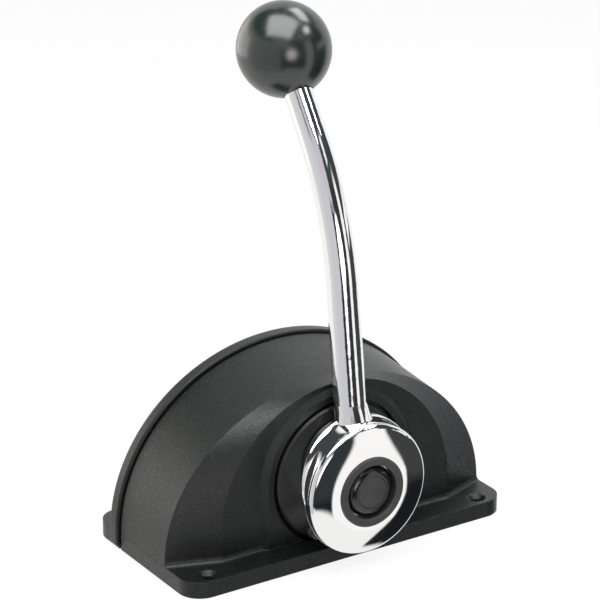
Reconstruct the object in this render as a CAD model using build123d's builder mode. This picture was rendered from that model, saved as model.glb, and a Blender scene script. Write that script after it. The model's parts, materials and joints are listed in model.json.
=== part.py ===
"""Boat throttle control: a single lever on a half-drum housing, with its gear, arms and neutral button.

All sizes are millimetres.  X runs along the base, Y from the lever side (-Y) to the rear cover (+Y)
and Z up.  The origin is the centre of the four mounting holes, on the underside of the base.
"""

import os
from math import acos, cos, degrees, pi, radians, sin, sqrt, tan

from build123d import *

# ---------------------------------------------------------------- driving dimensions

# base and mounting holes
BASE_LENGTH = 190.0
BASE_WIDTH = 97.0
BASE_THICK = 8.5
BASE_CORNER = 12.0
HOLE_PITCH_X = 162.0
HOLE_PITCH_Y = 82.0
HOLE_R = 2.6
COUNTERSINK_R = 4.9

# half-drum housing
DRUM_HALF = 94.9            # half width where the drum meets the flange
SEAM_Y = 21.0               # joint between front shell and rear cover
SEAM_TOP = 94.5
FACE_Y = -22.5              # front edge of the drum
FACE_TOP = 89.0
PLATEAU_Y = -32.4           # raised arch inside the crescent bevel
PLATEAU_R = 68.5
PLATEAU_Z = 20.5
WALL = 3.0
FOOT_FILLET = 2.6

# boss round the lever collar
AXIS_Z = 41.2               # lever axis, parallel to Y
BOSS_R = 45.5
BOSS_PROUD = 2.4
BOSS_BEVEL = 3.4            # width of its bevelled edge, seen from the front
RECESS_R = 38.8
RECESS_WALL = 2.2
RECESS_FLOOR_Y = -30.0

# rear cover
GROOVE = 1.3
RIM_Y = SEAM_Y + GROOVE
RIM_WIDTH = 6.9
RIM_END_R = 3.0             # rounding of the band's lower ends
RIM_PROUD = 1.8
COVER_BACK_Y = RIM_Y + RIM_WIDTH

# lever
COLLAR_R = 36.8
COLLAR_FRONT_Y = -35.6
HUB_R = 34.1
HUB_FRONT_Y = -63.6
HUB_BACK_Y = -37.2
WELL_R = 14.2
WELL_FLOOR_Y = -54.0
RING_R = 18.3
RING_SEAT_Y = -59.0
CREST_BACK_Y = -57.0        # the hub's rim keeps its full radius back to here
WALL_BACK_Y = -37.4
HUB_WALL = [                # Y, height of the centre, radius: it tapers and rises towards the collar
    (CREST_BACK_Y, AXIS_Z, HUB_R), (-52.0, 42.4, 31.6), (-47.0, 44.8, 28.0), (-42.0, 46.9, 25.2),
    (WALL_BACK_Y, 48.2, 24.0),
]
NECK_R = 22.0
SHOULDER = [                # height, half width in X, half width in Y, centre in Y
    (60.0, 20.0, 8.4, -50.2), (66.0, 16.5, 8.9, -49.2), (70.0, 12.4, 9.2, -48.0), (75.0, 9.6, 9.2, -46.3),
    (83.0, 7.8, 7.9, -43.9),
]
ROD_FOOT = (-44.6, 75.0)    # (Y, Z) of a point on the rod's lower straight
ROD_LEAN = 7.2              # lower lean, towards the rear cover
BEND_START_Z = 140.4
BEND_R = 161.0
BEND_ANGLE = 27.4
ROD_R_LOW = 8.1
ROD_R_TOP = 7.2
UPPER_RUN = 44.3            # straight from the end of the bend to the ball's centre
BALL_R = 23.6
BALL_STRETCH = 1.02

# shaft and its stack, from front to rear
SHAFT_R = 8.0
SHOULDER_Y = -17.0
TAIL_R = 6.0
TAIL_END_Y = 19.6
CRANK_Y = (-17.0, -12.0)
GEAR_Y = (-6.0, 0.0)
ARM_Y = (-5.5, -0.5)
DETENT_Y = (2.6, 5.6)
PLATE_Y = (12.0, 15.0)
BUTTON_TRAVEL = 4.0
BUTTON_R = 13.3

# gears
MODULE = 1.5
DRIVE_TEETH = 16
ARM_TEETH = 32
PRESSURE_ANGLE = 20.0
BACKLASH = 0.16
PIVOT_DIRECTION = 201.0     # from the lever axis to the shift arm's pivot, in the XZ plane
ARM_LENGTH = 36.0
ARM_DIRECTION = 160.0
PIVOT_R = 4.0
RUN = 0.05                  # radial clearance of a running fit

# fasteners
COVER_SCREWS = [(46.6, 73.0), (-46.6, 73.0), (87.0, 17.5), (-87.0, 17.5)]
PLATE_SCREWS = [(-30.0, 76.0), (30.0, 76.0), (22.0, 13.0)]
SCREW_R = 1.9
HEAD_R = 3.6
HEAD_H = 2.4
POST_R = 5.0

# small parts
STUD_R = 4.0
ARM_END_R = 6.0
CLAMP_SCREW_R = 1.4
SWITCH_Y = (4.0, 12.0)
SWITCH_AT = (29.0, 52.0)
SPRING_SEAT_Y = -61.6
DISC_R = 8.5
STEM_R = 3.0
STEM_END_Y = -8.0
KEY = 3.0
CLIP_Y = (17.0, 18.2)
REAR_BUSH_Y = (10.2, 16.6)
SEAL_Y = (-30.0, -27.0)
CAP_AT = (32.6, 218.0)      # radius and direction of the small plug on the hub's rim
CAP_R = 3.0
CAP_Y = (-54.0, -49.1)
GRUB_Y = -40.8
GRUB_R = 2.5
CRANK_LENGTH = 33.0
CRANK_END_R = 5.5
CABLE_PIN_R = 2.5
DETENT_R = 15.0
DETENT_BALL_R = 2.5
DETENT_NOTCHES = (65, 90, 115)
SECTOR_TEETH = 6
FLANK_STEPS = 4
PLATE_CORNERS = [(-44, 16), (-37, 82), (37, 82), (34, 6), (-34, 6)]
BRACKET_Y = (9.0, 12.0)
BRACKET_SCREWS = [(-22.0, 11.0), (-4.0, 11.0)]
CONDUIT_R = 3.9
CLAMP_POINTS = [(-62.0, -3.0), (6.5, -14.5)]      # X and Y of the two control-cable conduits
CLAMP_Z = (1.5, 10.0)
CLAMP_WIDTH = 19.0
CLAMP_PITCH = 14.6
DETENT_BALL_Z = 59.3
BUTTON_SKIRT_Y = -58.6
BUTTON_EDGE_Y = -61.0
DISC_SEAT_Y = -64.0

# sizes that follow
HOLE_X = HOLE_PITCH_X / 2
BUSH_R = 11.0
BORE_BOSS_R = 15.0
BORE_BOSS_END_Y = -20.5
RIB_ANGLES = (30, 90, 150, 210, 270, 330)
INNER_HALF = DRUM_HALF - WALL
INNER_PLATEAU_HALF = 64.0
UNDERSIDE = [
    (-INNER_HALF, SEAM_Y + 1), (INNER_HALF, SEAM_Y + 1), (INNER_HALF, FACE_Y + WALL),
    (INNER_PLATEAU_HALF, PLATEAU_Y + WALL), (-INNER_PLATEAU_HALF, PLATEAU_Y + WALL),
    (-INNER_HALF, FACE_Y + WALL),
]
DRIVE_R = MODULE * DRIVE_TEETH / 2
ARM_GEAR_R = MODULE * ARM_TEETH / 2

os.makedirs("parts", exist_ok=True)


def save(builder, name):
    """Label one finished piece and write it as its own STEP."""
    builder.part.label = name
    export_step(builder.part, f"parts/{name}.step")


def across(y):
    """The XZ plane at a given Y: its local x is +X, its local y is +Z and it looks to -Y."""
    return Plane.XZ.offset(-y)


def polar(radius, angle):
    """A point of the XZ plane, from the lever axis."""
    return (radius * cos(radians(angle)), AXIS_Z + radius * sin(radians(angle)))


def drum_arch(half, top):
    """Draw the drum's arch, a half ellipse that stands on the flange."""
    return EllipticalCenterArc((0, BASE_THICK), half, top - BASE_THICK, arc_size=180)


def drum_section(y, top, shrink=0.0):
    """One D-shaped section of the drum above the flange."""
    with BuildSketch(across(y)) as section:
        with BuildLine():
            crown = drum_arch(DRUM_HALF - shrink, top - shrink)
            Line(crown @ 1, crown @ 0)
        make_face()
    return section.sketch


def plateau_section(y, shrink=0.0):
    """The arch of the raised plateau, concentric with itself for any wall thickness."""
    radius = PLATEAU_R - shrink
    half = sqrt(radius**2 - (PLATEAU_Z - BASE_THICK) ** 2)
    with BuildSketch(across(y)) as section:
        with BuildLine():
            crown = ThreePointArc((half, BASE_THICK), (0, PLATEAU_Z + radius), (-half, BASE_THICK))
            Line(crown @ 1, crown @ 0)
        make_face()
    return section.sketch


def boss_section(y, radius):
    """An inverted U about the lever axis, its legs reaching down into the flange."""
    foot = BASE_THICK - 4
    with BuildSketch(across(y)) as section:
        with BuildLine():
            ThreePointArc((-radius, AXIS_Z), (0, AXIS_Z + radius), (radius, AXIS_Z))
            Polyline((radius, AXIS_Z), (radius, foot), (-radius, foot), (-radius, AXIS_Z))
        make_face()
    return section.sketch


def rim_outline(proud):
    """The drum's end outline grown by a distance, with its sides carried down to the underside."""
    half = DRUM_HALF + proud
    with BuildSketch() as outline:
        with BuildLine():
            drum_arch(half, SEAM_TOP + proud)
            Polyline((half, BASE_THICK), (half, 0), (-half, 0), (-half, BASE_THICK))
        make_face()
        if proud > 0:
            fillet(outline.vertices().group_by(Axis.Y)[0], RIM_END_R)
    return outline.sketch


def base_outline(y_low, y_high):
    """The part of the base's rounded rectangle that lies between two values of Y."""
    with BuildSketch() as outline:
        RectangleRounded(BASE_LENGTH, BASE_WIDTH, BASE_CORNER)
        with Locations((0, (y_low + y_high) / 2)):
            Rectangle(BASE_LENGTH + 10, y_high - y_low, mode=Mode.INTERSECT)
    return outline.sketch


def drill(radius, y_front, y_back, points):
    """Cut round holes along Y through the part being built."""
    with BuildSketch(across(y_front)) as circles:
        with Locations(*points):
            Circle(radius)
    extrude(circles.sketch, amount=-(y_back - y_front), mode=Mode.SUBTRACT)


def posts(radius, y_front, y_back, points):
    """Add round posts along Y to the part being built."""
    with BuildSketch(across(y_front)) as circles:
        with Locations(*points):
            Circle(radius)
    extrude(circles.sketch, amount=-(y_back - y_front))


def sleeve(r_in, r_out, y_front, y_back, centre=(0.0, AXIS_Z), name="sleeve"):
    """A plain tube along Y, saved as a piece of its own."""
    with BuildPart() as tube:
        with BuildSketch(across(y_front)):
            with Locations(centre):
                Circle(r_out)
                Circle(r_in, mode=Mode.SUBTRACT)
        extrude(amount=-(y_back - y_front))
    save(tube, name)
    return tube


# ---------------------------------------------------------------- housing

with BuildPart() as front_housing:
    # flange, drum, crescent bevel and plateau
    add(base_outline(-BASE_WIDTH / 2, SEAM_Y))
    extrude(amount=BASE_THICK)
    add(drum_section(SEAM_Y, SEAM_TOP))
    add(drum_section(FACE_Y, FACE_TOP))
    loft()
    add(drum_section(FACE_Y, FACE_TOP))
    add(plateau_section(PLATEAU_Y))
    loft()
    foot = [e for e in front_housing.edges() if abs(e.center().Z - BASE_THICK) < 0.01]
    foot = [e for e in foot if 5 - BASE_WIDTH / 2 < e.center().Y < FACE_Y - 1]
    fillet(foot, FOOT_FILLET)
    # bevelled boss: an inverted U that runs down into the flange
    add(boss_section(PLATEAU_Y, BOSS_R))
    add(boss_section(PLATEAU_Y - BOSS_PROUD, BOSS_R - BOSS_BEVEL))
    loft()
    # hollow inside, open to the rear cover and underneath
    add(drum_section(SEAM_Y + 1, SEAM_TOP, WALL))
    add(drum_section(FACE_Y + WALL, FACE_TOP, WALL))
    loft(mode=Mode.SUBTRACT)
    add(drum_section(FACE_Y + WALL, FACE_TOP, WALL))
    add(plateau_section(PLATEAU_Y + WALL, WALL))
    loft(mode=Mode.SUBTRACT)
    with BuildSketch(Plane.XY.offset(-1)):
        with BuildLine():
            Polyline(*UNDERSIDE, close=True)
        make_face()
    extrude(amount=BASE_THICK + 1.01, mode=Mode.SUBTRACT)
    # hub of the shaft bore, with ribs down to the plateau's inside, and the screw posts
    posts(BORE_BOSS_R, RECESS_FLOOR_Y, BORE_BOSS_END_Y, [(0, AXIS_Z)])
    posts(RECESS_R + RECESS_WALL, RECESS_FLOOR_Y, RECESS_FLOOR_Y + WALL, [(0, AXIS_Z)])
    posts(POST_R, FACE_Y + 8, SEAM_Y, COVER_SCREWS)
    posts(POST_R, PLATEAU_Y + 2, PLATE_Y[0], PLATE_SCREWS)
    for angle in RIB_ANGLES:
        with BuildSketch(across(RECESS_FLOOR_Y)):
            with Locations(Location(polar((BORE_BOSS_R + RECESS_R) / 2, angle), angle)):
                Rectangle(RECESS_R - BORE_BOSS_R + 2, 2.4)
        extrude(amount=-(BORE_BOSS_END_Y - RECESS_FLOOR_Y - 3))
    # collar recess, shaft bore, seal seat, screw pilots and mounting holes
    drill(RECESS_R, COLLAR_FRONT_Y - 0.6, RECESS_FLOOR_Y, [(0, AXIS_Z)])
    drill(BUSH_R, -40, 0, [(0, AXIS_Z)])
    drill(SCREW_R, 4, SEAM_Y + 1, COVER_SCREWS)
    drill(SCREW_R, -6, PLATE_Y[0] + 1, PLATE_SCREWS)
    with Locations(*[(x, -HOLE_PITCH_Y / 2, BASE_THICK) for x in (-HOLE_X, HOLE_X)]):
        CounterSinkHole(HOLE_R, COUNTERSINK_R, counter_sink_angle=90)
save(front_housing, "front_housing")

with BuildPart() as rear_cover:
    # flange strip with the rear pair of holes
    add(base_outline(RIM_Y, BASE_WIDTH / 2))
    extrude(amount=BASE_THICK)
    # domed back of the drum with its proud rim band
    with BuildSketch(across(RIM_Y)):
        add(rim_outline(RIM_PROUD))
    extrude(amount=-RIM_WIDTH)
    band = rear_cover.faces().sort_by(Axis.Y)[0].edges() + rear_cover.edges().filter_by(
        lambda e: abs(e.center().Y - COVER_BACK_Y) < 0.01 and e.center().Z > BASE_THICK + 5
    )
    fillet([e for e in band if e.center().Z > 5], 1.2)
    # hollow of the cover
    with BuildSketch(across(RIM_Y)):
        add(rim_outline(-2 * WALL))
    extrude(amount=-(RIM_WIDTH - WALL), mode=Mode.SUBTRACT)
    posts(POST_R, RIM_Y, COVER_BACK_Y - 1, COVER_SCREWS)
    # tongue that locates the cover in the shell
    with BuildSketch(across(RIM_Y)):
        add(rim_outline(-WALL - 0.5))
        add(rim_outline(-WALL - 2.3), mode=Mode.SUBTRACT)
    extrude(amount=GROOVE + 2)
    drill(POST_R + 0.3, SEAM_Y - 3, SEAM_Y + 0.3, COVER_SCREWS)
    drill(SCREW_R + 0.3, -30, COVER_BACK_Y + 1, COVER_SCREWS)
    drill(HEAD_R + 0.3, COVER_BACK_Y - 2.6, COVER_BACK_Y + 1, COVER_SCREWS)
    with Locations(*[(x, HOLE_PITCH_Y / 2, BASE_THICK) for x in (-HOLE_X, HOLE_X)]):
        CounterSinkHole(HOLE_R, COUNTERSINK_R, counter_sink_angle=90)
save(rear_cover, "rear_cover")

with BuildPart() as cover_gasket:
    with BuildSketch(across(RIM_Y)):
        add(rim_outline(-1.8))
        add(rim_outline(-WALL - 0.1), mode=Mode.SUBTRACT)
    extrude(amount=GROOVE)
save(cover_gasket, "cover_gasket")


def pan_screws(points, head_y, tip_y, name):
    """A group of pan-head screws along Y, their heads at the +Y end, with a cross recess."""
    with BuildPart() as group:
        with BuildSketch(across(head_y)):
            with Locations(*points):
                Circle(HEAD_R)
        extrude(amount=-HEAD_H)
        fillet(group.faces().filter_by(Axis.Y).sort_by(Axis.Y)[-len(points):].edges(), 0.9)
        with BuildSketch(across(tip_y)):
            with Locations(*points):
                Circle(SCREW_R - RUN)
        extrude(amount=-(head_y - tip_y))
        with BuildSketch(across(head_y + HEAD_H - 1.2)):
            with Locations(*points):
                Rectangle(3.6, 0.8)
                Rectangle(0.8, 3.6)
        extrude(amount=-2, mode=Mode.SUBTRACT)
    save(group, name)


pan_screws(COVER_SCREWS, COVER_BACK_Y - 2.6, 8.0, "cover_screws")
pan_screws(PLATE_SCREWS, PLATE_Y[1], 0.0, "plate_screws")

# ---------------------------------------------------------------- lever

with BuildPart() as lever_arm:
    # dished hub, turned about the lever axis
    with BuildSketch(Plane.YZ):
        with BuildLine():
            Polyline(
                (HUB_BACK_Y, AXIS_Z + SHAFT_R), (WELL_FLOOR_Y, AXIS_Z + SHAFT_R),
                (WELL_FLOOR_Y, AXIS_Z + WELL_R), (RING_SEAT_Y, AXIS_Z + WELL_R),
                (RING_SEAT_Y, AXIS_Z + RING_R), (HUB_FRONT_Y, AXIS_Z + RING_R),
            )
            ThreePointArc(
                (HUB_FRONT_Y, AXIS_Z + RING_R), (HUB_FRONT_Y + 0.5, AXIS_Z + 25.5),
                (HUB_FRONT_Y + 2.2, AXIS_Z + HUB_R - 1.8),
            )
            ThreePointArc(
                (HUB_FRONT_Y + 2.2, AXIS_Z + HUB_R - 1.8), (HUB_FRONT_Y + 3.4, AXIS_Z + HUB_R - 0.3),
                (HUB_FRONT_Y + 5.4, AXIS_Z + HUB_R),
            )
            Line((HUB_FRONT_Y + 5.4, AXIS_Z + HUB_R), (CREST_BACK_Y, AXIS_Z + HUB_R))
            Polyline(
                (CREST_BACK_Y, AXIS_Z + HUB_R), (CREST_BACK_Y, AXIS_Z + NECK_R),
                (HUB_BACK_Y, AXIS_Z + NECK_R), (HUB_BACK_Y, AXIS_Z + SHAFT_R),
            )
        make_face()
    revolve(axis=Axis((0, 0, AXIS_Z), (0, 1, 0)))
    # its wall, which leans up towards the rod as it runs back
    for y, height, radius in HUB_WALL:
        with BuildSketch(across(y)):
            with Locations((0, height)):
                Circle(radius)
    loft()
    drill(WELL_R, CREST_BACK_Y - 1, WELL_FLOOR_Y, [(0, AXIS_Z)])
    drill(SHAFT_R, CREST_BACK_Y - 1, HUB_BACK_Y + 1, [(0, AXIS_Z)])
    # rod: lower straight, long bend and upper straight, tapering to the ball
    with BuildLine(Plane.YZ) as rod_path:
        lean = radians(ROD_LEAN)
        foot_z = AXIS_Z + RING_R + 3
        foot_y = ROD_FOOT[0] - (ROD_FOOT[1] - foot_z) * tan(lean)
        knee_y = ROD_FOOT[0] + (BEND_START_Z - ROD_FOOT[1]) * tan(lean)
        lower = Line((foot_y, foot_z), (knee_y, BEND_START_Z))
        bend = JernArc(lower @ 1, lower % 1, BEND_R, -BEND_ANGLE)
        upper = Line(bend @ 1, (bend @ 1) + (bend % 1) * (UPPER_RUN - BALL_R * 0.82))
    sections = [(lower @ 0, lower % 0, ROD_R_LOW), (lower @ 1, lower % 1, ROD_R_LOW - 0.2)]
    sections += [(bend @ 1, bend % 1, ROD_R_TOP + 0.15), (upper @ 1, upper % 1, ROD_R_TOP)]
    for point, direction, radius in sections:
        with BuildSketch(Plane(origin=point, x_dir=(1, 0, 0), z_dir=direction)):
            Circle(radius)
    sweep(path=rod_path.line, multisection=True)
    # flared shoulder between hub and rod
    for height, half_x, half_y, centre_y in SHOULDER:
        with BuildSketch(Plane.XY.offset(height)):
            with Locations((0, centre_y)):
                Ellipse(half_x, half_y)
    loft()
    drill(CAP_R, CAP_Y[0], CAP_Y[1], [polar(*CAP_AT)])
    with BuildSketch(Plane.XY.offset(AXIS_Z)):
        with Locations((0, GRUB_Y)):
            Circle(GRUB_R)
    extrude(amount=-NECK_R - 2, mode=Mode.SUBTRACT)
save(lever_arm, "lever_arm")

with BuildPart() as hub_cap:
    posts(CAP_R, CAP_Y[0], CAP_Y[1], [polar(*CAP_AT)])
    fillet(hub_cap.faces().sort_by(Axis.Y)[-1].edges(), 0.6)
save(hub_cap, "hub_cap")

with BuildPart() as hub_screw:
    with BuildSketch(Plane.XY.offset(AXIS_Z - SHAFT_R)):
        with Locations((0, GRUB_Y)):
            Circle(GRUB_R)
    extrude(amount=-10)
    with BuildSketch(Plane.XY.offset(AXIS_Z - SHAFT_R - 10)):
        with Locations((0, GRUB_Y)):
            RegularPolygon(1.4, 6)
    extrude(amount=3, mode=Mode.SUBTRACT)
save(hub_screw, "hub_screw")

BALL_CENTRE = (bend @ 1) + (bend % 1) * UPPER_RUN
BALL_PLANE = Plane(origin=BALL_CENTRE, x_dir=(1, 0, 0), z_dir=bend % 1)
ROD_END = -BALL_R * 0.82    # along the ball's axis, from its centre

with BuildPart() as knob:
    with BuildSketch(Plane(origin=BALL_CENTRE, x_dir=BALL_PLANE.z_dir, z_dir=BALL_PLANE.x_dir)):
        Ellipse(BALL_R * BALL_STRETCH, BALL_R)
        with Locations((0, BALL_R)):
            Rectangle(4 * BALL_R, 2 * BALL_R, mode=Mode.SUBTRACT)
    revolve(axis=Axis(BALL_CENTRE, BALL_PLANE.z_dir))
    with BuildSketch(BALL_PLANE.offset(-BALL_R - 3)):
        Circle(ROD_R_TOP + 0.4)
    extrude(amount=BALL_R + 3 + ROD_END, mode=Mode.SUBTRACT)
    with BuildSketch(BALL_PLANE.offset(ROD_END)):
        Circle(STUD_R)
    extrude(amount=-ROD_END, mode=Mode.SUBTRACT)
save(knob, "knob")

with BuildPart() as knob_stud:
    with BuildSketch(BALL_PLANE.offset(ROD_END)):
        Circle(STUD_R)
    extrude(amount=-ROD_END - 0.5)
    chamfer(knob_stud.edges().sort_by(Axis.Z)[-1], 0.8)
save(knob_stud, "knob_stud")


def turned(profile, name, centre=(0.0, AXIS_Z)):
    """A ring turned about an axis along Y from (y, radius) corners, as a piece of its own."""
    with BuildPart() as ring:
        with BuildSketch(Plane.YZ.offset(centre[0])):
            with BuildLine():
                Polyline(*[(y, centre[1] + radius) for y, radius in profile], close=True)
            make_face()
        revolve(axis=Axis((centre[0], 0, centre[1]), (0, 1, 0)))
    save(ring, name)
    return ring


turned([
    (RING_SEAT_Y, WELL_R), (RING_SEAT_Y, RING_R), (HUB_FRONT_Y - 0.7, RING_R),
    (HUB_FRONT_Y - 1.2, RING_R - 0.6), (HUB_FRONT_Y - 1.2, WELL_R + 0.7), (HUB_FRONT_Y - 0.6, WELL_R),
], "hub_ring")

with BuildPart() as hub_collar:
    with BuildSketch(Plane.YZ):
        with BuildLine():
            Polyline(
                (HUB_BACK_Y, AXIS_Z + SHAFT_R), (HUB_BACK_Y, AXIS_Z + NECK_R + 1),
                (COLLAR_FRONT_Y, AXIS_Z + COLLAR_R - 1), (COLLAR_FRONT_Y + 1, AXIS_Z + COLLAR_R),
                (RECESS_FLOOR_Y - 0.5, AXIS_Z + COLLAR_R), (RECESS_FLOOR_Y - 0.5, AXIS_Z + COLLAR_R - 4),
                (COLLAR_FRONT_Y + 2, AXIS_Z + COLLAR_R - 5), (COLLAR_FRONT_Y + 2, AXIS_Z + SHAFT_R + 4),
                (RECESS_FLOOR_Y - 0.5, AXIS_Z + SHAFT_R + 4), (RECESS_FLOOR_Y - 0.5, AXIS_Z + SHAFT_R),
                close=True,
            )
        make_face()
    revolve(axis=Axis((0, 0, AXIS_Z), (0, 1, 0)))
save(hub_collar, "hub_collar")

with BuildPart() as lever_shaft:
    posts(SHAFT_R, WELL_FLOOR_Y, SHOULDER_Y, [(0, AXIS_Z)])
    posts(TAIL_R, SHOULDER_Y, TAIL_END_Y, [(0, AXIS_Z)])
    drill(STEM_R + RUN, WELL_FLOOR_Y, STEM_END_Y + BUTTON_TRAVEL + 1, [(0, AXIS_Z)])
    with BuildSketch(across(GEAR_Y[0])):
        with Locations((0, AXIS_Z + TAIL_R)):
            Rectangle(KEY, KEY)
    extrude(amount=-(DETENT_Y[1] - GEAR_Y[0]), mode=Mode.SUBTRACT)
    with BuildSketch(across(CLIP_Y[0])):
        with Locations((0, AXIS_Z)):
            Circle(TAIL_R)
            Circle(TAIL_R - 0.6, mode=Mode.SUBTRACT)
    extrude(amount=-(CLIP_Y[1] - CLIP_Y[0]), mode=Mode.SUBTRACT)
    chamfer(lever_shaft.faces().sort_by(Axis.Y)[-1].edges(), 0.8)
save(lever_shaft, "lever_shaft")

with BuildPart() as shaft_key:
    with BuildSketch(across(GEAR_Y[0])):
        with Locations((0, AXIS_Z + TAIL_R)):
            Rectangle(KEY, KEY)
    extrude(amount=-(DETENT_Y[1] - GEAR_Y[0]))
save(shaft_key, "shaft_key")


def around(centre, radius, angle):
    """A point of the XZ plane, from a given centre."""
    return (centre[0] + radius * cos(radians(angle)), centre[1] + radius * sin(radians(angle)))


def involute(angle):
    return tan(angle) - angle


def tooth(centre, teeth, direction):
    """Corners of one spur tooth with involute flanks, half the backlash taken off each side."""
    pitch_r = MODULE * teeth / 2
    base_r = pitch_r * cos(radians(PRESSURE_ANGLE))
    inner = root_radius(teeth) - 0.4
    half_pitch = pi / (2 * teeth) - BACKLASH / (2 * pitch_r) + involute(radians(PRESSURE_ANGLE))
    flank = [(inner, half_pitch)]
    for step in range(FLANK_STEPS + 1):
        radius = base_r + (pitch_r + MODULE - base_r) * step / FLANK_STEPS
        flank.append((radius, half_pitch - involute(acos(base_r / radius))))
    both = flank + [(radius, -turn) for radius, turn in reversed(flank)]
    return [around(centre, radius, direction + degrees(turn)) for radius, turn in both]


def root_radius(teeth):
    return MODULE * teeth / 2 - 1.25 * MODULE


def teeth_faces(centre, teeth, directions):
    """Tooth faces, in the XZ plane's own coordinates, to add to a gear's face."""
    with BuildSketch() as faces:
        for direction in directions:
            with BuildLine():
                Polyline(*tooth(centre, teeth, direction), close=True)
            make_face()
    return faces.sketch


PIVOT = polar(DRIVE_R + ARM_GEAR_R, PIVOT_DIRECTION)

with BuildPart() as drive_gear:
    drive_step = 360 / DRIVE_TEETH
    with BuildSketch(across(GEAR_Y[0])):
        with Locations((0, AXIS_Z)):
            Circle(root_radius(DRIVE_TEETH))
        add(teeth_faces((0, AXIS_Z), DRIVE_TEETH,
                        [PIVOT_DIRECTION + k * drive_step for k in range(DRIVE_TEETH)]))
    extrude(amount=-(GEAR_Y[1] - GEAR_Y[0]))
    posts(DRIVE_R - 3, GEAR_Y[1], DETENT_Y[0], [(0, AXIS_Z)])
    drill(TAIL_R, GEAR_Y[0] - 1, DETENT_Y[1], [(0, AXIS_Z)])
    with BuildSketch(across(GEAR_Y[0])):
        with Locations((0, AXIS_Z + TAIL_R)):
            Rectangle(KEY, KEY)
    extrude(amount=-(DETENT_Y[1] - GEAR_Y[0]), mode=Mode.SUBTRACT)
save(drive_gear, "drive_gear")

with BuildPart() as detent_disc:
    with BuildSketch(across(DETENT_Y[0])):
        with Locations((0, AXIS_Z)):
            Circle(DETENT_R)
            Circle(TAIL_R, mode=Mode.SUBTRACT)
        with Locations((0, AXIS_Z + TAIL_R)):
            Rectangle(KEY, KEY, mode=Mode.SUBTRACT)
        for notch in DETENT_NOTCHES:
            with Locations(polar(DETENT_R + 1.2, notch)):
                Circle(DETENT_BALL_R, mode=Mode.SUBTRACT)
    extrude(amount=-(DETENT_Y[1] - DETENT_Y[0]))
save(detent_disc, "detent_disc")

with BuildPart() as throttle_crank:
    with BuildSketch(across(CRANK_Y[0])):
        with BuildLine():
            Polyline(polar(11.5, 20), polar(11.5, 160), (-CRANK_END_R, AXIS_Z + CRANK_LENGTH),
                     (CRANK_END_R, AXIS_Z + CRANK_LENGTH), close=True)
        make_face()
        with Locations((0, AXIS_Z)):
            Circle(12)
        with Locations((0, AXIS_Z + CRANK_LENGTH)):
            Circle(CRANK_END_R)
            Circle(CABLE_PIN_R, mode=Mode.SUBTRACT)
        with Locations((0, AXIS_Z)):
            Circle(TAIL_R, mode=Mode.SUBTRACT)
    extrude(amount=-(CRANK_Y[1] - CRANK_Y[0]))
save(throttle_crank, "throttle_crank")

sleeve(TAIL_R, 9.0, CRANK_Y[1], GEAR_Y[0], name="crank_spacer")
sleeve(TAIL_R, 8.2, DETENT_Y[1], REAR_BUSH_Y[0] - 0.3, name="rear_spacer")
sleeve(SHAFT_R + RUN, 13.5, BORE_BOSS_END_Y + 1.6, SHOULDER_Y, name="thrust_washer")
sleeve(TAIL_R - 0.6, 9.4, CLIP_Y[0], CLIP_Y[1], name="shaft_clip")

turned([
    (SEAL_Y[1], SHAFT_R + RUN), (SEAL_Y[1], BUSH_R), (BORE_BOSS_END_Y, BUSH_R), (BORE_BOSS_END_Y, 13.5),
    (BORE_BOSS_END_Y + 1.5, 13.5), (BORE_BOSS_END_Y + 1.5, SHAFT_R + RUN),
], "front_bush")
turned([
    (REAR_BUSH_Y[0], TAIL_R + RUN), (REAR_BUSH_Y[0], 11.0), (PLATE_Y[0], 11.0), (PLATE_Y[0], 9.0),
    (REAR_BUSH_Y[1], 9.0), (REAR_BUSH_Y[1], TAIL_R + RUN),
], "rear_bush")
turned([
    (SEAL_Y[0], SHAFT_R + 1), (SEAL_Y[0], BUSH_R), (SEAL_Y[1], BUSH_R), (SEAL_Y[1], SHAFT_R + 2),
    (SEAL_Y[1] - 0.8, SHAFT_R + RUN), (SEAL_Y[0] + 1.2, SHAFT_R + RUN),
], "shaft_seal")

# ---------------------------------------------------------------- mechanism

with BuildPart() as mechanism_plate:
    with BuildSketch(across(PLATE_Y[0])) as plate_face:
        with BuildLine():
            Polyline(*PLATE_CORNERS, close=True)
        make_face()
        fillet(plate_face.vertices(), 6)
        with Locations((0, AXIS_Z)):
            Circle(9.0, mode=Mode.SUBTRACT)
        with Locations(*PLATE_SCREWS):
            Circle(SCREW_R + 0.2, mode=Mode.SUBTRACT)
        with Locations(PIVOT):
            Circle(PIVOT_R - 1, mode=Mode.SUBTRACT)
        with Locations(*BRACKET_SCREWS):
            Circle(SCREW_R + 0.2, mode=Mode.SUBTRACT)
    extrude(amount=-(PLATE_Y[1] - PLATE_Y[0]))
save(mechanism_plate, "mechanism_plate")

turned([
    (ARM_Y[0] - 2.6, 0), (ARM_Y[0] - 2.6, PIVOT_R), (PLATE_Y[0], PIVOT_R), (PLATE_Y[0], PIVOT_R - 1),
    (PLATE_Y[1], PIVOT_R - 1), (PLATE_Y[1], PIVOT_R + 0.6), (PLATE_Y[1] + 1.4, PIVOT_R + 0.2),
    (PLATE_Y[1] + 1.4, 0),
], "shift_pin", PIVOT)
sleeve(PIVOT_R, 7.0, ARM_Y[1] + 0.6, PLATE_Y[0], PIVOT, "pin_spacer")
sleeve(PIVOT_R, 7.0, ARM_Y[0] - 1.6, ARM_Y[0] - 0.5, PIVOT, "pin_clip")

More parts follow.
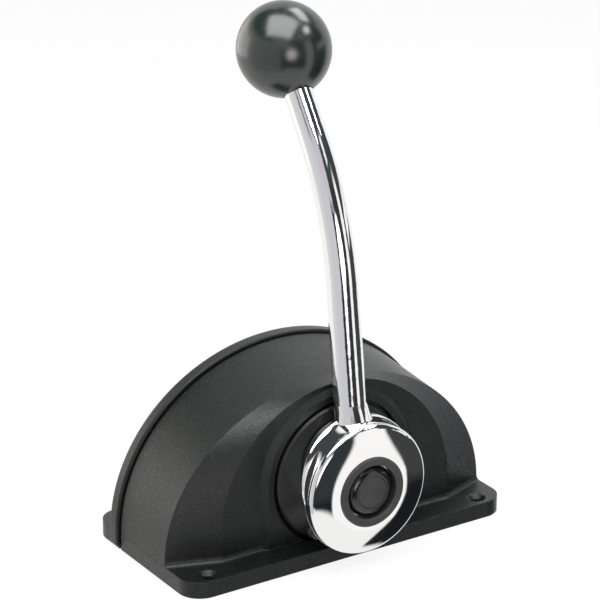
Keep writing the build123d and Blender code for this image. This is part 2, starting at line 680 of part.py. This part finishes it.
with BuildPart() as shift_arm:
    arm_step = 360 / ARM_TEETH
    facing = PIVOT_DIRECTION - 180
    half_span = SECTOR_TEETH * arm_step
    tip = around(PIVOT, ARM_LENGTH, ARM_DIRECTION)
    with BuildSketch(across(ARM_Y[0])):
        with BuildLine():
            sector_edge = CenterArc(PIVOT, root_radius(ARM_TEETH), facing - half_span, 2 * half_span)
            Polyline(sector_edge @ 1, PIVOT, sector_edge @ 0)
        make_face()
        add(teeth_faces(PIVOT, ARM_TEETH,
                        [facing + (k + 0.5) * arm_step for k in range(-SECTOR_TEETH, SECTOR_TEETH)]))
        with BuildLine():
            Polyline(around(PIVOT, 9, ARM_DIRECTION + 90), around(PIVOT, 9, ARM_DIRECTION - 90),
                     around(tip, ARM_END_R, ARM_DIRECTION - 90), around(tip, ARM_END_R, ARM_DIRECTION + 90),
                     close=True)
        make_face()
        with Locations(PIVOT):
            Circle(11.5)
            Circle(PIVOT_R + 1.5, mode=Mode.SUBTRACT)
        with Locations(tip):
            Circle(ARM_END_R)
            Circle(CABLE_PIN_R, mode=Mode.SUBTRACT)
    extrude(amount=-(ARM_Y[1] - ARM_Y[0]))
save(shift_arm, "shift_arm")
sleeve(PIVOT_R + RUN, PIVOT_R + 1.5, ARM_Y[0] - 0.3, ARM_Y[1] + 0.3, PIVOT, "shift_bush")


def cable_pin(y_front, y_back, centre, name):
    """A headed pin for a control cable's end, with its head to the front."""
    turned([
        (y_front, 0), (y_front, CABLE_PIN_R + 0.8), (y_front + 1.2, CABLE_PIN_R + 1.2),
        (y_front + 2, CABLE_PIN_R + 1.2), (y_front + 2, CABLE_PIN_R), (y_back, CABLE_PIN_R), (y_back, 0),
    ], name, centre)


cable_pin(CRANK_Y[0] - 2, CRANK_Y[1] + 3, (0, AXIS_Z + CRANK_LENGTH), "throttle_pin")
cable_pin(ARM_Y[0] - 2, ARM_Y[1] + 3, tip, "shift_cable_pin")

def clamp_pair(x):
    """Where the two screws of one conduit clamp stand, in the XZ plane."""
    middle = sum(CLAMP_Z) / 2
    return [(x - CLAMP_PITCH / 2, middle), (x + CLAMP_PITCH / 2, middle)]


# conduit bracket, its two clamps and their screws
with BuildPart() as cable_bracket:
    with BuildSketch(across(BRACKET_Y[0])):
        with Locations((-29, 8)):
            Rectangle(86, 13)
        with Locations(*BRACKET_SCREWS):
            Circle(SCREW_R, mode=Mode.SUBTRACT)
    extrude(amount=-(BRACKET_Y[1] - BRACKET_Y[0]))
    with BuildSketch(Plane.XY.offset(CLAMP_Z[0])):
        for x, y in CLAMP_POINTS:
            with Locations((x, (y + BRACKET_Y[0]) / 2)):
                Rectangle(CLAMP_WIDTH, BRACKET_Y[0] - y)
        with Locations(*CLAMP_POINTS):
            Circle(CONDUIT_R, mode=Mode.SUBTRACT)
    extrude(amount=CLAMP_Z[1] - CLAMP_Z[0])
    for x, y in CLAMP_POINTS:
        drill(CLAMP_SCREW_R, y - 1, y + 7, clamp_pair(x))
save(cable_bracket, "cable_bracket")

with BuildPart() as cable_clamps:
    with BuildSketch(Plane.XY.offset(CLAMP_Z[0])):
        for x, y in CLAMP_POINTS:
            with Locations((x, y - 1.3)):
                Rectangle(CLAMP_WIDTH, 2.2)
            with Locations((x, y - 0.2)):
                Circle(CONDUIT_R + 1.6)
            with Locations((x, y + 4.8)):
                Rectangle(CLAMP_WIDTH + 1, 10, mode=Mode.SUBTRACT)
            with Locations((x, y)):
                Circle(CONDUIT_R, mode=Mode.SUBTRACT)
    extrude(amount=CLAMP_Z[1] - CLAMP_Z[0])
    for x, y in CLAMP_POINTS:
        drill(CLAMP_SCREW_R + 0.1, y - 4, y + 1, clamp_pair(x))
save(cable_clamps, "cable_clamps")

with BuildPart() as clamp_screws:
    for x, y in CLAMP_POINTS:
        pair = clamp_pair(x)
        posts(1.9, y - 4, y - 2.4, pair)
        posts(CLAMP_SCREW_R - RUN, y - 2.4, y + 5, pair)
save(clamp_screws, "clamp_screws")
pan_screws(BRACKET_SCREWS, PLATE_Y[1], BRACKET_Y[0], "bracket_screws")

# neutral detent on the plate, above the disc
detent_y = (DETENT_Y[0] + DETENT_Y[1]) / 2
with BuildPart() as detent_block:
    with BuildSketch(Plane.XY.offset(DETENT_BALL_Z - 1)):
        with Locations((0, (detent_y + PLATE_Y[0]) / 2)):
            Rectangle(13, PLATE_Y[0] - detent_y)
        with Locations((0, detent_y)):
            Circle(5)
    extrude(amount=14)
    with BuildSketch(Plane.XY.offset(DETENT_BALL_Z - 2)):
        with Locations((0, detent_y)):
            Circle(DETENT_BALL_R + RUN)
    extrude(amount=13, mode=Mode.SUBTRACT)
save(detent_block, "detent_block")

with BuildPart() as detent_ball:
    with Locations((0, detent_y, DETENT_BALL_Z)):
        Sphere(DETENT_BALL_R)
save(detent_ball, "detent_ball")


def coil(origin, direction, length, radius, turns, wire, name):
    """A compression spring along a given direction from its start, saved as a piece."""
    rise = length - 2 * wire
    with BuildPart() as spring:
        with BuildLine():
            run = Helix(pitch=rise / turns, height=rise, radius=radius, center=origin, direction=direction)
        with BuildSketch(Plane(origin=run @ 0, z_dir=run % 0)):
            Circle(wire)
        sweep(path=run)
    save(spring, name)
    return spring


coil((0, detent_y, DETENT_BALL_Z + DETENT_BALL_R + 0.5), (0, 0, 1), 8, 1.9, 3, 0.35, "detent_spring")

with BuildPart() as neutral_switch:
    with BuildSketch(across(SWITCH_Y[0])):
        with Locations(SWITCH_AT):
            RectangleRounded(20, 10, 1)
            with Locations((-5, -2), (5, -2)):
                Circle(1.3, mode=Mode.SUBTRACT)
    extrude(amount=-(PLATE_Y[0] - SWITCH_Y[0]))
    with BuildSketch(Plane.XY.offset(SWITCH_AT[1] + 5)):
        with Locations((SWITCH_AT[0] - 6, SWITCH_Y[0] + 4)):
            Rectangle(2.5, 2)
        with Locations((SWITCH_AT[0], SWITCH_Y[0] + 4), (SWITCH_AT[0] + 6, SWITCH_Y[0] + 4)):
            Rectangle(3.2, 0.8)
    extrude(amount=4)
save(neutral_switch, "neutral_switch")

# ---------------------------------------------------------------- neutral button in the hub

with BuildPart() as neutral_button:
    with BuildSketch(Plane.YZ):
        with BuildLine():
            Polyline((BUTTON_EDGE_Y, AXIS_Z + BUTTON_R), (BUTTON_SKIRT_Y, AXIS_Z + BUTTON_R),
                     (BUTTON_SKIRT_Y, AXIS_Z + BUTTON_R - 1.8), (SPRING_SEAT_Y, AXIS_Z + BUTTON_R - 1.8),
                     (SPRING_SEAT_Y, AXIS_Z), (DISC_SEAT_Y, AXIS_Z), (DISC_SEAT_Y, AXIS_Z + DISC_R),
                     (DISC_SEAT_Y - 0.4, AXIS_Z + DISC_R))
            ThreePointArc((DISC_SEAT_Y - 0.4, AXIS_Z + DISC_R), (DISC_SEAT_Y + 0.4, AXIS_Z + BUTTON_R - 1.7),
                          (BUTTON_EDGE_Y, AXIS_Z + BUTTON_R))
        make_face()
    revolve(axis=Axis((0, 0, AXIS_Z), (0, 1, 0)))
save(neutral_button, "neutral_button")

turned([
    (DISC_SEAT_Y, 0), (DISC_SEAT_Y, DISC_R), (DISC_SEAT_Y - 0.2, DISC_R - 0.3), (DISC_SEAT_Y - 0.5, 0),
], "button_disc")
turned([
    (SPRING_SEAT_Y, 0), (SPRING_SEAT_Y, 5.0), (SPRING_SEAT_Y + 1.5, 5.0), (SPRING_SEAT_Y + 1.5, STEM_R),
    (STEM_END_Y, STEM_R), (STEM_END_Y, 0),
], "button_stem")
coil((0, SPRING_SEAT_Y + 0.5, AXIS_Z), (0, 1, 0), WELL_FLOOR_Y - SPRING_SEAT_Y - 0.5, 8.0, 1.5, 0.5,
     "button_spring")
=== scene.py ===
"""Looks of the boat throttle control lever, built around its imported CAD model."""

import json
import math

import bmesh
import bpy
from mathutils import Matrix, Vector


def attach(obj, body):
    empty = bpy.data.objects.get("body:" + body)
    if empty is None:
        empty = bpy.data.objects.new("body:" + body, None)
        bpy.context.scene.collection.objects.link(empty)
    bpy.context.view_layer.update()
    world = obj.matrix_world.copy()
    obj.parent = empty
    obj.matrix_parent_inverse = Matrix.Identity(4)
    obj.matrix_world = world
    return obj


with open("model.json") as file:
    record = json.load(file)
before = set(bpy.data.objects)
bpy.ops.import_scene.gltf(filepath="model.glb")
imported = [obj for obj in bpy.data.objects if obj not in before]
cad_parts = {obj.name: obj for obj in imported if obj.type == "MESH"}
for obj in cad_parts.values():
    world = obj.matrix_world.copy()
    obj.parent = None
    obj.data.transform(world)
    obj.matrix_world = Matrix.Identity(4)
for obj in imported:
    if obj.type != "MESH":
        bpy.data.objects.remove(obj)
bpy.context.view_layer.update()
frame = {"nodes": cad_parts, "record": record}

# ---------------------------------------------------------------- view
CAMERA_TARGET = Vector((0.0038, 0.0075, 0.1187))
CAMERA_AZIMUTH = math.radians(-32.95)
CAMERA_ELEVATION = math.radians(21.23)
CAMERA_DISTANCE = 1.400
CAMERA_LENS = 166.9


def towards(azimuth, elevation):
    """Unit vector from the object to a viewer: azimuth 0 stands on the -Y side, positive on +X's side."""
    flat = math.cos(elevation)
    return Vector((flat * math.sin(azimuth), -flat * math.cos(azimuth), math.sin(elevation)))


def make_camera():
    camera = bpy.data.objects.new("camera", bpy.data.cameras.new("camera"))
    bpy.context.collection.objects.link(camera)
    away = towards(CAMERA_AZIMUTH, CAMERA_ELEVATION)
    camera.location = CAMERA_TARGET + away * CAMERA_DISTANCE
    camera.rotation_euler = away.to_track_quat("Z", "Y").to_euler()
    camera.data.sensor_fit = "HORIZONTAL"
    camera.data.sensor_width = 36.0
    camera.data.lens = CAMERA_LENS
    bpy.context.scene.camera = camera


# ---------------------------------------------------------------- node helpers
class Material:
    """A node material with its Principled shader at hand."""

    def __init__(self, name, colour, roughness, metallic=0.0):
        self.data = bpy.data.materials.new(name)
        self.data.use_nodes = True
        self.tree = self.data.node_tree
        self.shader = self.tree.nodes["Principled BSDF"]
        self.shader.inputs["Base Color"].default_value = (*colour, 1)
        self.shader.inputs["Roughness"].default_value = roughness
        self.shader.inputs["Metallic"].default_value = metallic

    def node(self, kind, **values):
        node = self.tree.nodes.new(kind)
        for key, value in values.items():
            node.inputs[key.replace("_", " ")].default_value = value
        return node

    def link(self, source, target):
        self.tree.links.new(source, target)

    def noise(self, scale, detail=3.0, roughness=0.6):
        """Noise in the part's own coordinates, in cycles per metre."""
        place = self.node("ShaderNodeTexCoord")
        noise = self.node("ShaderNodeTexNoise", Scale=scale, Detail=detail, Roughness=roughness)
        self.link(place.outputs["Object"], noise.inputs["Vector"])
        return noise.outputs["Fac"]

    def ramp(self, fac, stops):
        """A value or colour spread over a factor, from (position, colour) stops."""
        ramp = self.node("ShaderNodeValToRGB")
        points = ramp.color_ramp.elements
        while len(points) < len(stops):
            points.new(0.5)
        for point, (position, colour) in zip(points, stops):
            point.position = position
            point.color = (*colour, 1)
        self.link(fac, ramp.inputs["Fac"])
        return ramp.outputs["Color"]

    def spread(self, fac, low, high, socket):
        """Drives one of the shader's numbers between two values."""
        span = self.node("ShaderNodeMapRange")
        span.inputs["From Min"].default_value = 0.3
        span.inputs["From Max"].default_value = 0.7
        span.inputs["To Min"].default_value = low
        span.inputs["To Max"].default_value = high
        self.link(fac, span.inputs["Value"])
        self.link(span.outputs["Result"], self.shader.inputs[socket])

    def bump(self, height, distance, strength=1.0, below=None):
        """Bump of a height in metres; returns its normal so that bumps can be stacked."""
        bump = self.node("ShaderNodeBump", Strength=strength, Distance=distance)
        self.link(height, bump.inputs["Height"])
        if below is not None:
            self.link(below, bump.inputs["Normal"])
        self.link(bump.outputs["Normal"], self.shader.inputs["Normal"])
        return bump.outputs["Normal"]


def cast_paint(name, colour):
    """Satin paint over a cast housing: fine grain that sparkles, rounded edges, slight change of sheen."""
    paint = Material(name, colour, 0.36)
    cloud = paint.noise(35.0, 4.0)
    low = [0.8 * c for c in colour]
    high = [1.3 * c for c in colour]
    paint.link(paint.ramp(cloud, [(0.35, low), (0.65, high)]), paint.shader.inputs["Base Color"])
    paint.spread(paint.noise(1100.0, 2.0), 0.24, 0.47, "Roughness")
    edge = paint.node("ShaderNodeBevel", Radius=0.0010)
    peel = paint.bump(paint.noise(1200.0, 2.0), 0.00016, 0.8, edge.outputs["Normal"])
    paint.bump(paint.noise(2000.0, 2.0), 0.00014, 1.0, peel)
    paint.shader.inputs["Specular IOR Level"].default_value = 0.52
    paint.shader.inputs["Specular Tint"].default_value = (0.93, 1.0, 0.985, 1)
    return paint.data


def chrome_plate():
    chrome = Material("chrome_plate", (0.93, 0.935, 0.94), 0.04, 1.0)
    chrome.spread(chrome.noise(60.0), 0.04, 0.075, "Roughness")
    chrome.bump(chrome.noise(14.0, 1.0), 0.0002, 0.12)
    return chrome.data


def moulded(name, colour, low, high, grain=0.00002, coat=0.0, shine=0.5):
    """A moulded plastic or rubber with a faint grain."""
    plastic = Material(name, colour, low)
    cloud = plastic.noise(50.0, 3.0)
    tint = [(0.35, [0.85 * c for c in colour]), (0.65, [1.2 * c for c in colour])]
    plastic.link(plastic.ramp(cloud, tint), plastic.shader.inputs["Base Color"])
    plastic.spread(plastic.noise(300.0, 2.0), low, high, "Roughness")
    plastic.bump(plastic.noise(1800.0, 2.0), grain, 0.5)
    plastic.shader.inputs["Coat Weight"].default_value = coat
    plastic.shader.inputs["Specular IOR Level"].default_value = shine
    plastic.shader.inputs["Coat Roughness"].default_value = 0.08
    return plastic.data


def metal(name, colour, low, high):
    """Plain worked metal with uneven roughness."""
    plate = Material(name, colour, low, 1.0)
    plate.spread(plate.noise(220.0, 4.0), low, high, "Roughness")
    plate.bump(plate.noise(900.0, 3.0), 0.00002, 0.5)
    return plate.data


def make_materials():
    return {
        "housing": cast_paint("housing_paint", (0.0045, 0.0055, 0.0048)),
        "cover": cast_paint("cover_paint", (0.0045, 0.0055, 0.0048)),
        "lever": chrome_plate(),
        "knob": moulded("knob_plastic", (0.010, 0.018, 0.015), 0.21, 0.26, 0.00001, 0.0, 1.0),
        "collar": moulded("collar_plastic", (0.012, 0.013, 0.012), 0.32, 0.42),
        "ring": moulded("ring_plastic", (0.040, 0.040, 0.040), 0.42, 0.55),
        "button": moulded("button_plastic", (0.007, 0.007, 0.009), 0.16, 0.24, 0.00001, 0.4),
        "steel": metal("steel", (0.55, 0.55, 0.54), 0.25, 0.4),
        "zinc": metal("zinc_plate", (0.6, 0.6, 0.55), 0.3, 0.45),
        "bronze": metal("sintered_bronze", (0.55, 0.36, 0.16), 0.4, 0.55),
        "rubber": moulded("rubber_black", (0.006, 0.006, 0.006), 0.6, 0.8),
        "acetal": moulded("acetal", (0.7, 0.7, 0.66), 0.35, 0.5),
        "switch": moulded("switch_plastic", (0.015, 0.015, 0.016), 0.4, 0.5),
    }


def dress_nodes(materials):
    """Gives each carried-over CAD node the material of its record slot."""
    for part in frame["record"]["subparts"]:
        node = frame["nodes"][part["node"]]
        node.data.materials.clear()
        node.data.materials.append(materials[part["material_slot"]])


# ---------------------------------------------------------------- hub skirt
AXIS_Z = 0.0412             # height of the lever's axis
SKIRT_R = 0.03416           # a little more than the hub's own rim
SKIRT_FRONT_Y = -0.0573
SKIRT_LEAD = [(-0.0025, -0.00096), (-0.001, -0.00011)]      # from inside the rim: change in y and in radius
SKIRT_SIDE = 0.0032         # length of the wall level with the axis
SKIRT_ABOVE = 0.0095        # how much longer it is at the rod
SKIRT_BELOW = 0.0050        # how much shorter it would be at the bottom
SKIRT_LEAST = 0.001
SKIRT_SLANT = 0.8           # power of the rise towards the rod
SKIRT_EDGE = 0.0011         # radius of the rounded rear edge
SKIRT_FLARE = 0.0010        # how far the rear edge flares out, where the wall is longest
SKIRT_FULL_FLARE = 0.010    # length of wall from which the flare is whole
SKIRT_RUN = 0.0040          # the length of wall that flares
SKIRT_INSIDE_R = 0.026      # where it ends, inside the hub's solid
SKIRT_TURNS = 180
PLAIN_STEPS = 3             # rings on the straight wall
FLARE_STEPS = 8             # rings on the flare
EDGE_STEP = 15              # degrees between the rings of the rear edge


def skirt_length(angle):
    """Length of the wall at an angle from the top."""
    rise = math.cos(angle)
    if rise > 0:
        return SKIRT_SIDE + SKIRT_ABOVE * rise ** SKIRT_SLANT
    return max(SKIRT_LEAST, SKIRT_SIDE + SKIRT_BELOW * rise)


def skirt_profile(length):
    """Points (y, radius) from inside the rim, along the wall and round the rear edge to inside the hub."""
    edge = min(SKIRT_EDGE, 0.5 * length)
    run = min(SKIRT_RUN, 0.4 * length)
    flare = SKIRT_FLARE * min(1.0, length / SKIRT_FULL_FLARE)
    rear = SKIRT_FRONT_Y + length
    points = [(SKIRT_FRONT_Y + along, SKIRT_R + out) for along, out in SKIRT_LEAD]
    for step in range(PLAIN_STEPS):
        points.append((SKIRT_FRONT_Y + (length - edge - run) * step / PLAIN_STEPS, SKIRT_R))
    for step in range(FLARE_STEPS):
        part = step / FLARE_STEPS
        points.append((rear - edge - run * (1 - part), SKIRT_R + flare * part ** 2))
    for degrees in range(-EDGE_STEP, 90 + EDGE_STEP, EDGE_STEP):
        turn = math.radians(degrees)
        points.append((rear - edge + edge * math.sin(turn), SKIRT_R + flare - edge + edge * math.cos(turn)))
    return points + [(rear - 0.0001, SKIRT_INSIDE_R)]


def make_skirt(material):
    """The hub's chromed wall behind its rim, a cylinder cut off on the slant, longest on the rod's side."""
    corners = []
    for i in range(SKIRT_TURNS):
        angle = 2 * math.pi * i / SKIRT_TURNS       # from the top, towards +X
        for y, radius in skirt_profile(skirt_length(angle)):
            corners.append((radius * math.sin(angle), y, AXIS_Z + radius * math.cos(angle)))
    rings = len(corners) // SKIRT_TURNS
    faces = []
    for i in range(SKIRT_TURNS):
        here, there = i * rings, (i + 1) % SKIRT_TURNS * rings
        for j in range(rings):
            k = (j + 1) % rings
            faces.append((here + j, here + k, there + k, there + j))
    mesh = bpy.data.meshes.new("hub_skirt")
    mesh.from_pydata(corners, [], faces)
    shape = bmesh.new()
    shape.from_mesh(mesh)
    bmesh.ops.recalc_face_normals(shape, faces=shape.faces)
    shape.to_mesh(mesh)
    shape.free()
    mesh.shade_smooth()
    mesh.materials.append(material)
    skirt = bpy.data.objects.new("hub_skirt", mesh)
    bpy.context.collection.objects.link(skirt)
    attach(skirt, "lever")


# ---------------------------------------------------------------- studio
FLOOR_HALF = 3.0
FLOOR_GLOW = 0.88       # share of plain white in the floor that the camera sees
MATT_LIGHT = 0.42       # strength of the grey studio light on matt surfaces
# the room that polished surfaces reflect: azimuth in degrees, 0 in front of the lever, and the wall there
WARM = (0.97, 0.955, 0.93)
WHITE = (1.0, 0.98, 0.96)
STONE = (0.70, 0.70, 0.69)
GREY = (0.60, 0.61, 0.63)
PALE = (0.92, 0.96, 1.0)
DARK = (0.030, 0.037, 0.038)
DUSK = (0.05, 0.052, 0.05)
WALLS = [
    (-180, WARM), (-125, WARM), (-112, STONE), (-80, GREY), (-42, GREY), (-38, DARK), (20, DARK), (22, WHITE),
    (40, WHITE), (42, DUSK), (82, DUSK), (88, PALE), (180, WARM),
]
WALL_TOPS = [            # azimuth, and the sine of the elevation where that wall ends
    (-180, 0.56), (-170, 0.45), (-90, 0.50), (60, 0.45), (110, 0.50), (128, 0.80), (166, 0.80), (180, 0.56),
]
FLOOR_TINT = (0.93, 0.92, 0.905)
CEILING_TINT = (0.050, 0.058, 0.058)
FLOOR_TOPS = [           # azimuth, and how far below the horizon the floor begins, as a sine
    (-180, 0.60), (-40, 0.60), (-30, 0.46), (40, 0.50), (44, 0.76), (95, 0.76), (105, 0.60), (180, 0.60),
]
FLOOR_SOFT = 0.02        # half the width of the blend between floor and wall, as a sine
CEILING_SOFT = 0.05
SKIRTING = (0.010, 0.012, 0.014)            # the shaded foot of the dark walls
SKIRTING_TOP = (-0.38, -0.44)               # sines between which it sets in
SKIRTING_SHARE = [       # azimuth, and whether the wall has that foot
    (-42, 0), (-38, 1), (20, 1), (22, 0), (40, 0), (42, 1), (82, 1), (88, 0),
]
PANEL_SOFT = 0.03        # softness of a flat lamp's upright edges, in radians
PANELS = [               # flat lamps: azimuths and sines of elevation that they span, softness of the edge, colour
    (8, 26, 0.57, 0.68, 0.02, (0.90, 0.94, 1.0)), (54, 82, 0.02, 0.15, 0.02, (1.0, 1.0, 1.0)),
    (-60, -20, 0.36, 0.62, 0.08, (0.60, 0.55, 0.62)),
]
SPOTS = [                # soft round lamps: azimuth, elevation, cosines of their edge and core, colour
    (-15, 4, 0.962, 0.994, (4.6, 4.0, 4.2)),
]


def area_light(name, azimuth, elevation, distance, size, power, colour=(1, 1, 1)):
    """A rectangular lamp that looks at the object: degrees, metres, watts."""
    data = bpy.data.lights.new(name, "AREA")
    data.shape = "RECTANGLE"
    data.size, data.size_y = size
    data.energy = power
    data.color = colour
    light = bpy.data.objects.new(name, data)
    bpy.context.collection.objects.link(light)
    away = towards(math.radians(azimuth), math.radians(elevation))
    light.location = CAMERA_TARGET + away * distance
    light.rotation_euler = away.to_track_quat("Z", "Y").to_euler()


def make_floor():
    """A pale floor that the camera sees as nearly white, with the object's shadow kept on it."""
    mesh = bpy.data.meshes.new("floor")
    corners = [(FLOOR_HALF * x, FLOOR_HALF * y, 0) for x, y in ((-1, -1), (1, -1), (1, 1), (-1, 1))]
    mesh.from_pydata(corners, [], [(0, 1, 2, 3)])
    floor = bpy.data.objects.new("floor", mesh)
    bpy.context.collection.objects.link(floor)
    floor.visible_glossy = False
    paper = Material("floor_paper", (0.8, 0.8, 0.8), 0.9)
    path = paper.node("ShaderNodeLightPath")
    glow = paper.node("ShaderNodeEmission", Strength=1.0)
    share = paper.node("ShaderNodeMath")
    share.operation = "MULTIPLY"
    share.inputs[1].default_value = FLOOR_GLOW
    mix = paper.node("ShaderNodeMixShader")
    paper.link(path.outputs["Is Camera Ray"], share.inputs[0])
    paper.link(share.outputs[0], mix.inputs["Fac"])
    paper.link(paper.shader.outputs[0], mix.inputs[1])
    paper.link(glow.outputs[0], mix.inputs[2])
    paper.link(mix.outputs[0], paper.tree.nodes["Material Output"].inputs["Surface"])
    mesh.materials.append(paper.data)


def make_world():
    """White to the camera, grey studio light to matt surfaces, and a room of pale walls, dark gaps
    and a pale floor for polished ones."""
    world = bpy.data.worlds.new("studio")
    bpy.context.scene.world = world
    world.use_nodes = True
    tree = world.node_tree

    def node(kind, operation=None, **values):
        made = tree.nodes.new(kind)
        if operation:
            made.operation = operation
        for key, value in values.items():
            made.inputs[key.replace("_", " ")].default_value = value
        return made

    def blend(fac, low, high):
        made = node("ShaderNodeMix")
        made.data_type = "RGBA"
        tree.links.new(fac, made.inputs["Factor"])
        for value, socket in ((low, made.inputs[6]), (high, made.inputs[7])):
            if isinstance(value, tuple):
                socket.default_value = (*value, 1)
            else:
                tree.links.new(value, socket)
        return made.outputs[2]

    def span(value, low, high):
        made = node("ShaderNodeMapRange")
        made.inputs["From Min"].default_value = low
        made.inputs["From Max"].default_value = high
        tree.links.new(value, made.inputs["Value"])
        return made.outputs["Result"]

    def times(first, second):
        made = node("ShaderNodeMath", "MULTIPLY")
        tree.links.new(first, made.inputs[0])
        tree.links.new(second, made.inputs[1])
        return made.outputs[0]

    def inside(value, low, high, soft):
        return times(span(value, low - soft, low), span(value, high + soft, high))

    def ramp(share, stops):
        made = node("ShaderNodeValToRGB")
        points = made.color_ramp.elements
        while len(points) < len(stops):
            points.new(0.5)
        for point, (degrees, colour) in zip(points, stops):
            point.position = 0.5 + degrees / 360.0
            point.color = (*colour, 1)
        tree.links.new(share, made.inputs["Fac"])
        return made.outputs["Color"]

    def levels(share, stops):
        return ramp(share, [(degrees, (level, level, level)) for degrees, level in stops])

    place = node("ShaderNodeTexCoord")
    axes = node("ShaderNodeSeparateXYZ")
    tree.links.new(place.outputs["Generated"], axes.inputs[0])
    # azimuth as a share of the turn: 0.5 is the -Y side, 0.75 the +X side
    flip = node("ShaderNodeMath", "MULTIPLY")
    flip.inputs[1].default_value = -1.0
    tree.links.new(axes.outputs["Y"], flip.inputs[0])
    turn = node("ShaderNodeMath", "ARCTAN2")
    tree.links.new(axes.outputs["X"], turn.inputs[0])
    tree.links.new(flip.outputs[0], turn.inputs[1])
    share = span(turn.outputs[0], -math.pi, math.pi)
    walls = ramp(share, WALLS)
    tops = levels(share, WALL_TOPS)
    above = node("ShaderNodeMath", "SUBTRACT")
    tree.links.new(axes.outputs["Z"], above.inputs[0])
    tree.links.new(tops, above.inputs[1])
    foot = times(levels(share, SKIRTING_SHARE), span(axes.outputs["Z"], *SKIRTING_TOP))
    room = blend(foot, walls, SKIRTING)
    depth = levels(share, FLOOR_TOPS)
    below = node("ShaderNodeMath", "ADD")
    tree.links.new(axes.outputs["Z"], below.inputs[0])
    tree.links.new(depth, below.inputs[1])
    room = blend(span(below.outputs[0], FLOOR_SOFT, -FLOOR_SOFT), room, FLOOR_TINT)
    room = blend(span(above.outputs[0], -CEILING_SOFT, CEILING_SOFT), room, CEILING_TINT)
    for left, right, low, high, soft, colour in PANELS:
        across = inside(turn.outputs[0], math.radians(left), math.radians(right), PANEL_SOFT)
        room = blend(times(across, inside(axes.outputs["Z"], low, high, soft)), room, colour)
    for azimuth, elevation, edge, core, colour in SPOTS:
        facing = node("ShaderNodeVectorMath", "DOT_PRODUCT")
        facing.inputs[1].default_value = towards(math.radians(azimuth), math.radians(elevation))
        tree.links.new(place.outputs["Generated"], facing.inputs[0])
        room = blend(span(facing.outputs["Value"], edge, core), room, colour)
    polished = node("ShaderNodeBackground", Strength=1.0)
    tree.links.new(room, polished.inputs["Color"])
    matt = node("ShaderNodeBackground", Color=(1, 1, 1, 1), Strength=MATT_LIGHT)
    white = node("ShaderNodeBackground", Color=(1, 1, 1, 1), Strength=1.0)
    path = node("ShaderNodeLightPath")
    object_light = node("ShaderNodeMixShader")
    tree.links.new(path.outputs["Is Glossy Ray"], object_light.inputs["Fac"])
    tree.links.new(matt.outputs[0], object_light.inputs[1])
    tree.links.new(polished.outputs[0], object_light.inputs[2])
    view = node("ShaderNodeMixShader")
    tree.links.new(path.outputs["Is Camera Ray"], view.inputs["Fac"])
    tree.links.new(object_light.outputs[0], view.inputs[1])
    tree.links.new(white.outputs[0], view.inputs[2])
    tree.links.new(view.outputs[0], tree.nodes["World Output"].inputs["Surface"])


def make_lights():
    area_light("softbox", -50, 74, 1.2, (1.25, 1.12), 19.5)
    area_light("window", -155, 6, 1.3, (1.3, 0.8), 4.2, (1.0, 0.95, 0.90))
    area_light("lamp", 50, 47, 1.3, (0.34, 0.24), 2.2, (0.96, 0.97, 1.0))
    area_light("side lamp", 104, 56, 1.3, (0.7, 0.4), 5.0)


make_camera()
materials = make_materials()
dress_nodes(materials)
make_skirt(materials["lever"])
make_floor()
make_world()
make_lights()

bpy.context.scene.view_settings.view_transform = "Standard"
